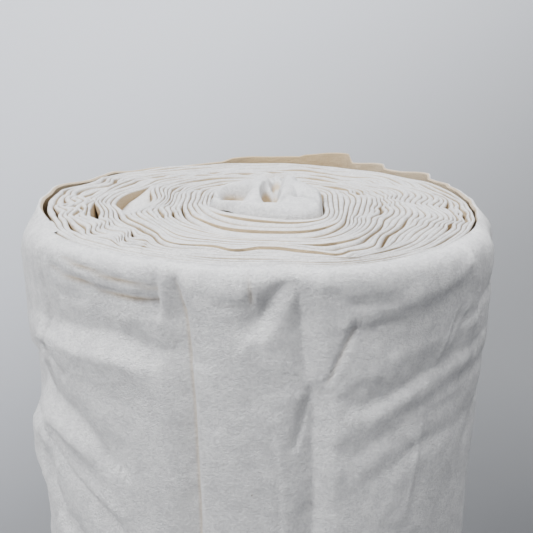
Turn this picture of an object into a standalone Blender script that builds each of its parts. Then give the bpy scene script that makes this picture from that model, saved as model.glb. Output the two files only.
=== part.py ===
"""A roll of needled cotton batting standing on end.

The cloth is folded double along its length, with the fold upwards, and wound
round its own crumpled start. Two solids are made: the wound roll, whose top
shows the winding as a coarse spiral of ridges round the wad, and the loose last
turn, a doubled sheet that leans over the edge in front and stands up, away from
the winding, behind. Metres, +Z up, the roll stands on z = 0.

Directions are degrees anticlockwise seen from above: 0 is +X, the right-hand
side, and 270 is -Y, the front.
"""

import math
from collections import namedtuple

import bpy
import bmesh
from mathutils import Vector

MM = 0.001

# The driving sizes of the roll.
WINDING_TOP = 1135 * MM        # level of the folds of the wound turns
SHEET_THICKNESS = 4 * MM       # the cloth, folded double
FOLD_BULGE = 0.7 * MM          # how far its folded edge swells
CLEARANCE = 0.5 * MM           # between the winding and the loose turn
SHOULDER_DROP = 18 * MM        # from the winding's top down to the upright wall
LEDGE_DROP = 5.2 * MM          # from there to the ledge that the rolled edge lies on
LOOSE_END = 207                # direction in which the cloth ends
END_SLACK = 0.2                # degrees left free at either end of the loose turn
WINDING_CENTRE = (7.1 * MM, 11.5 * MM)   # the winding is not quite in the middle

SPREAD = 7                     # turns on either side that a gap presses together
SINK = 1.6                     # turns on either side that sink beside a gap
FOOT_PER_GAP = 2.5             # how much lower the ledge starts for a wider gap
LEDGE_BULGE = 1 / 6            # how far the ledge bulges, as a share of its width

# How the skin is divided.
COLUMNS = 90                   # round the roll
RIDGE_TURNS = 11               # ridges from the wad to the edge
GROOVE = 5 * MM                # how far the skin sinks between two ridges
FIRST_RISE = 8                 # columns in which the innermost ridge gains its height
WAD_RINGS = (0, 0.2, 0.4, 0.6, 0.78, 0.92)   # shares of the wad's radius
WALL_LEVELS = (0, 300, 560, 760, 900, 985, 1040, 1075, 1100)
LEDGE_STEPS = 2
SHOULDER_STEPS = 4
WELD_DISTANCE = 0.02 * MM
SHARP_ANGLE = 50               # degrees

Section = namedtuple(
    "Section", "direction wad third sixth eleventh seventeenth twenty_third last")
TURNS_COUNTED = (0, 3, 6, 11, 17, 23, 29)
LAST_TURN = TURNS_COUNTED[-1]

# Radii of seven turns of the winding in millimetres, counted outwards from the
# edge of the wad, a row for each direction.
SECTIONS = [Section(*row) for row in (
    (0, 51, 62, 78, 102, 128, 156, 177),
    (15, 53, 65, 80, 97, 125, 156, 177),
    (30, 54, 68, 82, 95, 122, 154, 181),
    (45, 52, 66, 80, 96, 122, 155, 184),
    (60, 48, 62, 76, 97, 124, 156, 185),
    (75, 44, 57, 70, 97, 124, 156, 186),
    (90, 42, 55, 68, 96, 123, 155, 186),
    (105, 44, 57, 71, 98, 125, 156, 186),
    (120, 47, 61, 76, 102, 130, 160, 189),
    (135, 50, 65, 81, 105, 133, 165, 195),
    (150, 52, 66, 81, 103, 132, 168, 200),
    (165, 51, 62, 77, 98, 128, 167, 202),
    (180, 50, 60, 73, 95, 127, 164, 201),
    (195, 52, 63, 76, 98, 131, 161, 197),
    (210, 57, 69, 84, 108, 139, 166, 196),
    (225, 61, 76, 95, 118, 143, 173, 201),
    (240, 66, 84, 107, 132, 158, 181, 203),
    (255, 70, 92, 122, 143, 168, 188, 205),
    (270, 77, 99, 130, 146, 167, 188, 208),
    (285, 85, 105, 134, 153, 185, 199, 211),
    (300, 84, 98, 117, 138, 171, 191, 207),
    (315, 70, 82, 95, 117, 149, 178, 199),
    (330, 57, 69, 83, 108, 136, 166, 189),
    (345, 52, 63, 79, 103, 127, 157, 181),
)]

Kink = namedtuple("Kink", "direction turn push half_angle reach drift")

# Kinks that nest through the turns: the direction and turn of each kink's
# middle, its push outwards in millimetres, half its width in degrees, the turns
# it reaches either way, and the degrees it drifts with each turn.
KINKS = [Kink(*row) for row in (
    (263, 17, 8, 6, 5, 0.2),
    (249, 17, 4, 5, 5, 0.4),
    (286, 18, 4, 5, 6, 0.3),
    (302, 17, -4, 7, 5, 0.6),
    (352, 20, -5, 11, 9, 0.4),
    (10, 20, 4, 10, 8, -1.6),
    (334, 23, 3, 9, 5, 0.0),
    (312, 21, -4, 8, 6, 1.0),
    (157, 26, -9, 8, 4, 0.0),
    (168, 26, 4, 7, 4, 0.0),
    (141, 27, 5, 7, 4, 0.8),
    (126, 24, -4, 8, 6, 0.8),
    (186, 24, -4, 5, 5, 0.6),
    (236, 23, 3, 5, 5, 0.6),
)]

Gap = namedtuple("Gap", "direction turn width half_angle depth")

# Gaps between turns: the middle of each, how far it opens in millimetres, half
# its angle, and how deep it shows.
GAPS = [Gap(*row) for row in (
    (181, 15.6, 26, 27, 16),
    (196, 21.5, 8, 13, 12),
    (160, 25.0, 4, 22, 8),
    (278, 17.5, 3, 36, 4),
    (285, 0.5, 3, 60, 5),
    (282, 3.2, 3, 55, 4),
    (278, 6.2, 3, 60, 4),
)]

LooseEdge = namedtuple("LooseEdge", "direction outside rise roll gap")

# The loose last turn: its outside radius, how far its top edge stands above the
# winding, how far that edge has rolled over (0 upright, 1 lying flat) and the
# gap inside it, in millimetres, a row for each direction.
LOOSE_EDGES = [LooseEdge(*row) for row in (
    (0, 197, 4, 0.35, 6),
    (30, 195, 7, 0.10, 6),
    (60, 197, 9, 0.05, 5),
    (90, 197, 8, 0.05, 5),
    (120, 201, 4, 0.15, 4),
    (150, 210, 2, 0.40, 4),
    (180, 214, 1, 0.50, 4),
    (210, 213, 0, 0.90, 1),
    (240, 215, 0, 1.00, 0),
    (270, 219, 0, 1.00, 0),
    (300, 218, 0, 1.00, 0),
    (330, 206, 1, 0.75, 2),
)]

Flute = namedtuple("Flute", "direction depth half_angle level half_height drift")

# Folds of the outside: direction, depth in millimetres (below 0 is a trough),
# half the width in degrees, the level of the middle and half the height in
# millimetres, and the degrees each drifts for 100 mm upwards.
FLUTES = [Flute(*row) for row in (
    (254, -7, 6, 540, 640, 0.2),
    (275, -7, 6, 540, 640, -0.8),
    (263, 3, 6, 560, 560, 0.0),
    (283, 4, 5, 1030, 110, 5.0),
    (271, -6, 6, 1112, 34, 4.0),
    (302, -5, 14, 1085, 42, 0.0),
    (315, 4, 6, 1060, 110, 0.0),
    (228, -6, 17, 1072, 30, 0.0),
    (224, 5, 17, 960, 90, 8.0),
    (212, -5, 9, 830, 130, 0.0),
    (297, -5, 16, 1005, 45, 8.0),
    (322, 4, 8, 600, 520, 0.3),
    (333, -5, 8, 580, 560, 0.5),
    (347, -5, 9, 640, 480, -0.5),
    (10, 4, 10, 560, 520, 0.0),
    (52, -6, 10, 560, 600, 0.6),
    (80, 4, 11, 520, 560, 0.0),
    (105, -6, 9, 560, 580, -0.6),
    (138, -5, 10, 560, 600, 0.4),
    (165, 4, 10, 560, 560, 0.0),
    (190, -4, 8, 520, 500, 0.4),
    (235, -4, 9, 400, 380, 0.0),
    (298, -4, 9, 400, 380, 0.0),
)]

Lump = namedtuple("Lump", "right back half_right half_back turned rise")

# The wad at the heart of the roll: its swellings and hollows, with places and
# half sizes in millimetres from the winding centre, and each one's turn.
WAD_LUMPS = [Lump(*row) for row in (
    (0, -20, 60, 66, 0, 4),
    (-20, -56, 36, 17, -8, 8),
    (24, -48, 27, 26, 8, 10),
    (4, 20, 22, 20, 0, 9),
    (-30, 0, 28, 14, 12, 8),
    (28, 2, 24, 18, -12, 5),
    (-28, -28, 22, 15, 6, -12),
    (-1, -30, 7, 20, -12, -22),
    (12, -2, 8, 22, 10, -8),
)]


def angle_between(first, second):
    """The signed turn in degrees from the second direction to the first."""
    return (first - second + 180) % 360 - 180


def around(rows, name, direction):
    """A column of a table, read smoothly at any direction round the roll."""
    step = 360 / len(rows)
    position = (direction - rows[0].direction) / step
    index = math.floor(position)
    part = position - index
    before, low, high, after = (
        getattr(rows[(index + shift) % len(rows)], name) for shift in (-1, 0, 1, 2))
    rise_low = (high - before) / 2
    rise_high = (after - low) / 2
    return (low * (1 - part) ** 2 * (1 + 2 * part)
            + high * part ** 2 * (3 - 2 * part)
            + rise_low * part * (1 - part) ** 2
            - rise_high * part ** 2 * (1 - part))


def swell(distance):
    """A soft hump: 1 in the middle and 0 from a distance of 1 outwards."""
    distance = min(abs(distance), 1)
    return (1 - distance ** 2) ** 2


def stretch(distance):
    """A long hump, nearly 1 over most of its length and 0 from 1 outwards."""
    distance = min(abs(distance), 1)
    return (1 - distance ** 6) ** 2


def turn_radius(turn, direction):
    """Radius in millimetres of a turn of the winding in a direction."""
    names = Section._fields[1:]
    upper = next(i for i, count in enumerate(TURNS_COUNTED) if 0 < i and turn <= count)
    start, end = TURNS_COUNTED[upper - 1], TURNS_COUNTED[upper]
    share = (turn - start) / (end - start)
    radius = ((1 - share) * around(SECTIONS, names[upper - 1], direction)
              + share * around(SECTIONS, names[upper], direction))
    for kink in KINKS:
        middle = kink.direction + kink.drift * (turn - kink.turn)
        radius += (kink.push * swell(angle_between(direction, middle) / kink.half_angle)
                   * swell((turn - kink.turn) / kink.reach))
    for gap in GAPS:
        side = turn - gap.turn
        opening = swell(angle_between(direction, gap.direction) / gap.half_angle)
        radius += math.copysign(gap.width / 2, side) * opening * swell(side / SPREAD)
    return radius


def gap_depth(turn, direction):
    """How far the skin sinks in millimetres where the turns part."""
    return sum(gap.depth
               * swell(angle_between(direction, gap.direction) / gap.half_angle)
               * swell((turn - gap.turn) / SINK) for gap in GAPS)


def wad_height(right, back):
    """Height of the wad in millimetres above the wound turns."""
    height = 0
    for lump in WAD_LUMPS:
        turned = math.radians(lump.turned)
        across = (right - lump.right) * math.cos(turned) + (back - lump.back) * math.sin(turned)
        along = (back - lump.back) * math.cos(turned) - (right - lump.right) * math.sin(turned)
        height += lump.rise * swell(math.hypot(across / lump.half_right, along / lump.half_back))
    return height


def outside_radius(level, direction, past_end):
    """Outside radius in metres of the loose turn, its folds included.

    past_end is how far round the last turn the place is, from 0 where it leaves
    the winding to 1 at the end of the cloth.
    """
    radius = (around(LOOSE_EDGES, "outside", direction)
              + SHEET_THICKNESS / MM * (past_end - 0.5))
    for flute in FLUTES:
        middle = flute.direction + flute.drift * (level / MM - flute.level) / 100
        radius += (flute.depth * swell(angle_between(direction, middle) / flute.half_angle)
                   * stretch((level / MM - flute.level) / flute.half_height))
    return radius * MM


def place(radius, direction, level):
    """A point at a radius from the winding centre, in metres."""
    turned = math.radians(direction)
    return Vector((WINDING_CENTRE[0] + radius * math.cos(turned),
                   WINDING_CENTRE[1] + radius * math.sin(turned), level))


def add_patch(bm, columns, rows, point):
    """Lay a grid of faces so that column i and row j fall on point(i, j).

    Every grid is split into triangles the same way, so that two skins laid on
    the same columns and rows stay the same distance apart between their points.
    """
    patch = bmesh.ops.create_grid(bm, x_segments=columns, y_segments=rows, size=1)["verts"]
    faces = {face for vert in patch for face in vert.link_faces}
    bmesh.ops.triangulate(bm, faces=list(faces), quad_method="FIXED")
    for vert in patch:
        vert.co = point(round((vert.co.x + 1) / 2 * columns),
                        round((vert.co.y + 1) / 2 * rows))


def loose_gap(direction):
    """The gap in metres between the winding and the top of the loose turn."""
    return max(0, around(LOOSE_EDGES, "gap", direction)) * MM


def shoulder(direction, past_end):
    """Points (radius, level) up the outside of the loose turn's top edge.

    The line leaves the wall upright and ends at the top edge, leaning inwards
    as far as the cloth has rolled over there. The normals come with them.
    """
    start_level = WINDING_TOP - SHOULDER_DROP
    lean = math.radians(90) * around(LOOSE_EDGES, "roll", direction)
    inner = (turn_radius(LAST_TURN - 1 + past_end, direction) * MM
             + CLEARANCE + FOLD_BULGE + loose_gap(direction))
    end = Vector((inner + SHEET_THICKNESS * math.cos(lean),
                  WINDING_TOP + around(LOOSE_EDGES, "rise", direction) * MM))
    start = Vector((outside_radius(start_level, direction, past_end), start_level))
    reach = (end - start).length / 2
    first_handle = start + Vector((0, reach))
    last_handle = end + reach * Vector((math.sin(lean), -math.cos(lean)))
    points = []
    for step in range(SHOULDER_STEPS + 1):
        u = step / SHOULDER_STEPS
        point = ((1 - u) ** 3 * start + 3 * u * (1 - u) ** 2 * first_handle
                 + 3 * u * u * (1 - u) * last_handle + u ** 3 * end)
        along = ((1 - u) ** 2 * (first_handle - start)
                 + 2 * u * (1 - u) * (last_handle - first_handle)
                 + u * u * (end - last_handle))
        normal = Vector((along.y, -along.x)).normalized()
        points.append((point, normal))
    return points


def column_turn(column):
    """Turn and direction of a column of the spiral, counted from the wad.

    A ridge stands for two or three turns of the cloth, except that the last
    round, which is the edge of the winding, is a single turn.
    """
    rounds = column / COLUMNS
    direction = LOOSE_END - 360 * rounds
    if rounds <= RIDGE_TURNS - 1:
        return (LAST_TURN - 1) * rounds / (RIDGE_TURNS - 1), direction
    return LAST_TURN + rounds - RIDGE_TURNS, direction


def finish_mesh(bm, name, material, collection):
    """Weld the patches, close what is left open and make the object."""
    bmesh.ops.remove_doubles(bm, verts=bm.verts, dist=WELD_DISTANCE)
    bmesh.ops.holes_fill(bm, edges=bm.edges, sides=0)
    bmesh.ops.recalc_face_normals(bm, faces=bm.faces)
    mesh = bpy.data.meshes.new(name)
    bm.to_mesh(mesh)
    bm.free()
    mesh.shade_smooth()
    mesh.set_sharp_from_angle(angle=math.radians(SHARP_ANGLE))
    mesh.materials.append(material)
    part = bpy.data.objects.new(name, mesh)
    collection.objects.link(part)
    return part


def make_wound_roll(material, collection):
    """The wound turns and the wad, one solid under a spiral of ridges."""
    bm = bmesh.new()
    outline_start = (RIDGE_TURNS - 1) * COLUMNS
    levels = len(WALL_LEVELS)
    wall_rows = levels + LEDGE_STEPS + 1

    def spiral_point(column, row):
        turn, direction = column_turn(column)
        if row == 0:
            groove = GROOVE + gap_depth(turn, direction) * MM
            if column >= outline_start:
                groove = 0
            return place(turn_radius(turn, direction) * MM, direction, WINDING_TOP - groove)
        if row == 2:
            return spiral_point(column + COLUMNS, 0)
        next_turn, _ = column_turn(column + COLUMNS)
        sunk = gap_depth((turn + next_turn) / 2, direction) * MM
        unrisen = max(0, 1 - column / FIRST_RISE) * GROOVE
        radius = (turn_radius(turn, direction) + turn_radius(next_turn, direction)) / 2
        return place(radius * MM, direction, WINDING_TOP - sunk - unrisen)

    def wad_point(column, row):
        _, direction = column_turn(column)
        if row == len(WAD_RINGS):
            return spiral_point(column, 0)
        radius = WAD_RINGS[row] * turn_radius(0, direction)
        turned = math.radians(direction)
        height = wad_height(radius * math.cos(turned), radius * math.sin(turned))
        return place(radius * MM, direction, WINDING_TOP + height * MM)

    def wall_point(column, row):
        turn, direction = column_turn(outline_start + column)
        past_end = column / COLUMNS
        inset = SHEET_THICKNESS + CLEARANCE
        if row < levels:
            level = WALL_LEVELS[row] * MM
            return place(outside_radius(level, direction, past_end) - inset, direction, level)
        if row == wall_rows:
            return spiral_point(outline_start + column, 0)
        foot_level = WINDING_TOP - SHOULDER_DROP - FOOT_PER_GAP * loose_gap(direction)
        ledge_level = WINDING_TOP - LEDGE_DROP
        foot_radius = outside_radius(foot_level, direction, past_end) - inset
        edge_radius = turn_radius(turn, direction) * MM
        share = (row - levels) / LEDGE_STEPS
        bulge = LEDGE_BULGE * (foot_radius - edge_radius) * math.sin(math.pi * share)
        return place(foot_radius + share * (edge_radius - foot_radius) + bulge,
                     direction, foot_level + share * (ledge_level - foot_level))

    def step_point(side, row):
        first, last = wall_point(0, row), wall_point(COLUMNS, row)
        if row == wall_rows and side == 1:
            return spiral_point(outline_start, 1)
        return first.lerp(last, side / 2)

    add_patch(bm, outline_start, 2, spiral_point)
    add_patch(bm, COLUMNS, len(WAD_RINGS), wad_point)
    add_patch(bm, COLUMNS, wall_rows, wall_point)
    add_patch(bm, 2, wall_rows, step_point)
    return finish_mesh(bm, "wound_roll", material, collection)


def make_loose_turn(material, collection):
    """The last turn of the cloth, a doubled sheet round the winding."""
    bm = bmesh.new()
    levels = len(WALL_LEVELS)
    rows = levels + SHOULDER_STEPS

    def skin_point(column, row, depth):
        past_end = column / COLUMNS
        slack = {0: END_SLACK, COLUMNS: -END_SLACK}.get(column, 0)
        direction = LOOSE_END - 360 * past_end - slack
        if row < levels:
            level = WALL_LEVELS[row] * MM
            return place(outside_radius(level, direction, past_end) - depth, direction, level)
        point, normal = shoulder(direction, past_end)[row - levels]
        skin = point - depth * normal
        return place(skin.x, direction, skin.y)

    def outer_point(column, row):
        return skin_point(column, row, 0)

    def inner_point(column, row):
        return skin_point(column, row, SHEET_THICKNESS)

    def fold_point(column, row):
        outer, inner = outer_point(column, rows), inner_point(column, rows)
        onward = (outer - outer_point(column, rows - 1)).normalized()
        swelling = onward * FOLD_BULGE if row == 1 else Vector()
        return outer.lerp(inner, row / 2) + swelling

    def hem_point(column, row):
        return outer_point(column, 0) if row == 0 else inner_point(column, 0)

    add_patch(bm, COLUMNS, rows, outer_point)
    add_patch(bm, COLUMNS, rows, inner_point)
    add_patch(bm, COLUMNS, 2, fold_point)
    add_patch(bm, COLUMNS, 1, hem_point)
    for end in (0, COLUMNS):
        def end_point(side, row):
            return outer_point(end, row) if side == 0 else inner_point(end, row)
        add_patch(bm, 1, rows, end_point)
    return finish_mesh(bm, "loose_turn", material, collection)


def make_batting():
    """The unbleached cotton, a warm white without gloss."""
    material = bpy.data.materials.new("cotton_batting")
    material.use_nodes = True
    shader = material.node_tree.nodes["Principled BSDF"]
    shader.inputs["Base Color"].default_value = (0.80, 0.77, 0.71, 1)
    shader.inputs["Roughness"].default_value = 0.95
    shader.inputs["Metallic"].default_value = 0
    return material


def main():
    for old in list(bpy.data.objects):
        bpy.data.objects.remove(old, do_unlink=True)
    collection = bpy.data.collections.new("cotton_batting_roll")
    bpy.context.scene.collection.children.link(collection)
    batting = make_batting()
    make_wound_roll(batting, collection)
    make_loose_turn(batting, collection)


main()
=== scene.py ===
# %% [markdown]
# # A roll of cotton batting
#
# The part is a roll of needled cotton cloth, folded double along its length and
# wound round its own crumpled start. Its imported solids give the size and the
# place of everything. This lesson gives them their looks: every turn of the
# winding, the wad at its heart, the loose last turn with its creases, and the
# soft, speckled cotton.

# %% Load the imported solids
import math
from collections import namedtuple

import bpy
import numpy as np
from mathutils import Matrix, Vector, noise


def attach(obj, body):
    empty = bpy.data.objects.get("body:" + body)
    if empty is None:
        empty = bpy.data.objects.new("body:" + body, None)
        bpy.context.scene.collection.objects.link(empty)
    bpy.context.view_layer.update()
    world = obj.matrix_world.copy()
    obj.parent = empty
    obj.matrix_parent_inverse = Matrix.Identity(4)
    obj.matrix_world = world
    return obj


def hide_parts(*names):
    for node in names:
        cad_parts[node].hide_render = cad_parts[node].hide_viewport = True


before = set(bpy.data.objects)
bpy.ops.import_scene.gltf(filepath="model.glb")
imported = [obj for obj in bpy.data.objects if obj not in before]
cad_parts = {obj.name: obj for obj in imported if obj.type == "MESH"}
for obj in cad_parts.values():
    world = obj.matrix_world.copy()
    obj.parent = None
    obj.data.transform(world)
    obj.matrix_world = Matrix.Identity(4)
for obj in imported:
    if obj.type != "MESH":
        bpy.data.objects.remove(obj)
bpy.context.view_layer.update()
print("solids:", sorted(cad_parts))

# %% [markdown]
# The camera comes first, so that each piece can be looked at as it is made. It
# stands a little above the roll and looks down at it by 17.6 degrees, close by,
# which is why the round top is a flat ellipse and the roll narrows downwards.

# %% Camera
MM = 0.001
TOP = 1135 * MM  # level of the folds of the wound turns
CENTRE = (7.1 * MM, 11.5 * MM)  # middle of the winding
CAMERA_BACK = 656.6 * MM  # from the middle of the winding to the camera
CAMERA_ABOVE = 142.7 * MM  # from the top of the winding up to the camera
CAMERA_PITCH = 17.647  # degrees below the horizontal
CAMERA_LENS = 49.61  # millimetres, on a sensor 36 mm wide


def add_camera():
    """The camera at the angle of the photograph."""
    bpy.ops.object.camera_add(
        location=(CENTRE[0], CENTRE[1] - CAMERA_BACK, TOP + CAMERA_ABOVE),
        rotation=(math.radians(90 - CAMERA_PITCH), 0, 0))
    camera = bpy.context.object
    camera.data.sensor_width = 36
    camera.data.lens = CAMERA_LENS
    bpy.context.scene.camera = camera
    return camera


print("camera at", tuple(round(value, 3) for value in add_camera().location))

# %% [markdown]
# The winding is described by tables. Each row of `SECTIONS` is a direction round
# the roll, and gives the radii of seven of the turns there, counted outwards
# from the wad. Between rows the radii are read along smooth curves. Directions
# are degrees anticlockwise seen from above: 0 is the right-hand side and 270 is
# the front. Three humps shape every fold: a soft, a long and a sharp one.

# %% Shape of the winding
LOOSE_END = 207  # direction in which the cloth ends
SHEET = 4 * MM  # the cloth, folded double
FOLD_BULGE = 0.7 * MM  # how far its folded edge swells
CLEARANCE = 0.5 * MM  # between the winding and the loose turn
SPREAD = 7  # turns on either side that a gap presses together
NEAT_SIDE = 268  # direction in which the cloth lies most evenly

Section = namedtuple(
    "Section", "direction wad third sixth eleventh seventeenth twenty_third last")
TURNS_COUNTED = np.array((0, 3, 6, 11, 17, 23, 29))

SECTIONS = [Section(*row) for row in (
    (0, 49, 62, 78, 102, 128, 156, 177), (15, 52, 65, 80, 97, 125, 156, 177),
    (30, 53, 68, 82, 95, 122, 154, 181), (45, 52, 66, 80, 96, 122, 155, 184),
    (60, 48, 62, 76, 97, 124, 156, 185), (75, 44, 57, 70, 97, 124, 156, 186),
    (90, 42, 55, 68, 96, 123, 155, 186), (105, 44, 57, 71, 98, 125, 156, 186),
    (120, 47, 61, 76, 102, 130, 160, 189), (135, 50, 65, 81, 105, 133, 165, 195),
    (150, 52, 66, 81, 103, 132, 168, 200), (165, 51, 62, 77, 98, 128, 167, 202),
    (180, 50, 60, 73, 95, 127, 164, 201), (195, 51, 63, 76, 98, 131, 161, 197),
    (210, 53, 69, 84, 108, 139, 166, 196), (225, 54, 76, 95, 118, 143, 173, 201),
    (240, 59, 84, 107, 132, 158, 181, 203), (255, 61, 92, 122, 143, 168, 188, 205),
    (270, 69, 99, 130, 146, 167, 188, 208), (285, 80, 105, 134, 153, 185, 199, 211),
    (300, 81, 98, 117, 138, 171, 191, 207), (315, 66, 82, 95, 117, 149, 178, 199),
    (330, 54, 69, 83, 108, 136, 166, 189), (345, 50, 63, 79, 103, 127, 157, 181),
)]


def angle_between(first, second):
    """The signed turn in degrees from the second direction to the first."""
    return (first - second + 180) % 360 - 180


def column_of(rows, name):
    """One column of a table."""
    return np.array([getattr(row, name) for row in rows], float)


def around(rows, name, direction):
    """A column of a table, read smoothly at any direction round the roll."""
    column = column_of(rows, name)
    position = (direction - rows[0].direction) / (360 / len(rows))
    index = np.floor(position).astype(int)
    part = position - index
    before, low, high, after = (
        column[(index + shift) % len(rows)] for shift in (-1, 0, 1, 2))
    return (low * (1 - part) ** 2 * (1 + 2 * part)
            + high * part ** 2 * (3 - 2 * part)
            + (high - before) / 2 * part * (1 - part) ** 2
            - (after - low) / 2 * part ** 2 * (1 - part))


def swell(distance):
    """A soft hump: 1 in the middle and 0 from a distance of 1 outwards."""
    distance = np.minimum(np.abs(distance), 1)
    return (1 - distance ** 2) ** 2


def stretch(distance):
    """A long hump, nearly 1 over most of its length and 0 from 1 outwards."""
    distance = np.minimum(np.abs(distance), 1)
    return (1 - distance ** 6) ** 2


def peak(distance):
    """A hump with a sharp ridge: 1 in the middle and 0 from 1 outwards."""
    distance = np.minimum(np.abs(distance), 1)
    return (1 - distance) ** 1.4


print("winding described in", len(SECTIONS), "directions")

# %% [markdown]
# Wound cloth is never even. Where one turn has a kink, the turns on either side
# follow it, less and less. So a kink is a row with a direction, a turn, a push
# in millimetres and a reach in turns, and it drifts by some degrees a turn.

# %% Kinks
Kink = namedtuple("Kink", "direction turn push half_angle reach drift")
KINKS = [Kink(*row) for row in (
    (263, 17, 8, 6, 5, 0.2), (246, 17, 9, 10, 7, 0.2), (286, 18, 6, 4, 6, 0.3),
    (295, 17, 4, 6, 5, 0.3), (274, 18, -2, 4, 5, 0.3), (304, 17, -4, 7, 5, 0.6),
    (354, 18, -6, 11, 11, -1), (10, 18, 6, 10, 11, -1.8), (334, 21, 6, 10, 9, 0),
    (311, 19, -5, 9, 7, 1.2), (24, 21, -5, 9, 8, -1.4), (3, 12, 3, 7, 6, 0.8),
    (343, 13, -3, 7, 5, 0.8), (318, 11, -3, 7, 6, 1), (328, 25, -3, 5, 4, 0),
    (343, 26, 4, 5, 3, 0), (40, 19, 5, 8, 7, -0.8), (157, 26, -13, 8, 5, 0),
    (168, 26, 5, 7, 4, 0), (141, 27, 7, 7, 4, 0.8), (126, 24, -5, 9, 6, 0.8),
    (178, 24, 3, 4, 4, 0.2), (184, 24, -4, 4, 4, 0.3), (190, 24, 4, 4, 4, 0.3),
    (197, 25, -3, 4, 4, 0.3), (204, 24, 3, 4, 4, 0.3), (214, 22, -4, 5, 5, 0.6),
    (222, 22, 3, 5, 5, 0.6), (229, 22, -5, 4, 6, 0.8), (235, 22, 4, 3, 6, 0.8),
    (240, 23, -3, 3, 5, 0.6), (146, 20, 4, 7, 6, 0.4), (204, 11, 3, 6, 5, 0.8),
    (215, 10, -2, 6, 5, 0.8), (75, 21, 4, 10, 6, 0), (52, 18, -4, 9, 6, 0.6),
    (22, 9, 6, 9, 4, 0), (50, 9, -4, 12, 4, 0), (100, 20, -4, 9, 6, 0.6),
    (120, 9, 4, 12, 6, 0),
)]
print(len(KINKS), "kinks")

# %% [markdown]
# Where the cloth was wound slackly, neighbouring turns part and leave a dark
# gap, whose width and depth are in millimetres. A gap follows the spiral line
# between two turns. The widest, on the left, has a sunken turn for its floor.

# %% Gaps
Gap = namedtuple("Gap", "direction turn width half_angle depth")
OPEN_GAPS = [Gap(*row) for row in (
    (198, 21, 8, 13, 3), (160, 25, 5, 20, 2), (160, 27, 4, 18, 1),
    (197, 27, 3, 8, 1), (215, 26, 4, 7, 2), (224, 24, 3, 5, 1),
    (225, 17, 3, 26, 2), (270, 17, 4, 36, 3), (310, 17, 3, 26, 2),
    (299, 14, 2.6, 20, 2), (285, 14, 2.4, 8, 1.5), (337, 12, 2.6, 20, 1.5),
    (325, 25, 3, 13, 1.5), (343, 27, 2.5, 7, 2), (351, 25, 3.5, 6, 2),
    (336, 27, 3, 6, 2), (10, 27, 2.6, 22, 1.5), (12, 25, 3, 14, 2),
    (292, 7, 2.6, 22, 1), (262, 6, 3.4, 62, 3), (263, 3, 3.4, 56, 3),
    (285, 26, 2, 17, 1), (262, 25, 1.6, 14, 1), (300, 23, 1.8, 14, 0.8),
    (114, 18, 5, 5, 3), (129, 18, 5.5, 6, 3), (137, 20, 4, 5, 2),
    (100, 16, 4, 6, 2.5), (86, 18, 3.6, 5, 2.5), (60, 22, 2.6, 18, 2.5),
    (40, 27, 4, 16, 2), (16, 9, 4.5, 11, 2.5), (35, 5, 3, 16, 2.5),
    (18, 12, 2.6, 9, 2), (55, 11, 2.6, 14, 2.5), (138, 5, 3, 20, 2.5),
    (155, 9, 2.4, 9, 1.5), (215, 10, 2.4, 12, 1), (218, 8, 2, 12, 1),
    (212, 6, 1.8, 16, 1), (232, 19, 2.6, 5, 1.5), (236, 21, 3, 5, 1.5),
    (240, 23, 2.6, 4, 1.5), (190, 24, 2.6, 5, 1.5), (184, 26, 2.6, 5, 1.5),
)]

EYE = Gap(182, 15, 25, 27, 9)  # the wide hollow on the left, floored by a turn


def opening_of(gap, direction):
    """How far a gap is open in a direction: 1 in its middle, 0 at its ends."""
    return swell(angle_between(direction, gap.direction) / gap.half_angle)


def gap_line(gap, direction):
    """The number of the spiral line that a gap follows, in a direction."""
    from_end = angle_between(LOOSE_END, gap.direction)
    return gap.turn + (from_end + angle_between(gap.direction, direction)) / 360


print(len(OPEN_GAPS) + 1, "gaps")

# %% [markdown]
# A turn lies where the curves through `SECTIONS` put it, is pushed by the kinks
# that reach it, and steps aside where a gap opens.

# %% Radius of the turns
def turn_radius(turn, direction, strand):
    """Radius in millimetres of a face of the winding at a turn and direction.

    strand is the number of the middle of the turn that the face belongs to, and
    tells on which side of a gap it lies.
    """
    names = Section._fields[1:]
    columns = np.array([around(SECTIONS, name, direction) for name in names])
    upper = np.clip(np.searchsorted(TURNS_COUNTED, turn), 1, len(names) - 1)
    start, end = TURNS_COUNTED[upper - 1], TURNS_COUNTED[upper]
    share = (turn - start) / (end - start)
    place = np.arange(len(direction))
    radius = (1 - share) * columns[upper - 1, place] + share * columns[upper, place]
    for kink in KINKS:
        middle = kink.direction + kink.drift * (turn - kink.turn)
        radius += (kink.push * swell(angle_between(direction, middle) / kink.half_angle)
                   * swell((turn - kink.turn) / kink.reach))
    for gap in OPEN_GAPS:
        line = gap_line(gap, direction)
        radius += (np.sign(strand - line) * gap.width / 2 * opening_of(gap, direction)
                   * swell((turn - line) / SPREAD))
    side = turn - gap_line(EYE, direction) - 0.5
    radius += (np.sign(side) * EYE.width / 2 * opening_of(EYE, direction)
               * swell((np.abs(side) - 0.5) / SPREAD))
    return radius


print("a gap presses", SPREAD, "turns together on either side")

# %% [markdown]
# Beside a gap the folds sink a little. The line between two turns is shallow
# where the cloth is pressed flush, as `FLUSH` lists, and deep in a gap.

# %% Lines between the turns
GAP_SINK = 1.6  # turns on either side that sink beside a gap
PLAIN_TROUGH = 2.0  # millimetres from a fold down to the line beside it
GAP_TROUGH = 0.8  # what a gap adds to that, for each millimetre of width


def sunk(strand, direction):
    """How far the fold of a turn sinks in millimetres beside a gap."""
    depth = np.zeros(len(direction))
    for gap in OPEN_GAPS:
        beside = swell((strand - gap_line(gap, direction)) / GAP_SINK)
        depth += gap.depth * opening_of(gap, direction) * beside
    opening = opening_of(EYE, direction)
    side = strand - gap_line(EYE, direction) - 0.5
    floor = EYE.depth * opening ** 0.5 * (np.abs(side) < 0.5)
    return depth + floor + 2 * opening * swell(side / 2)


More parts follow.
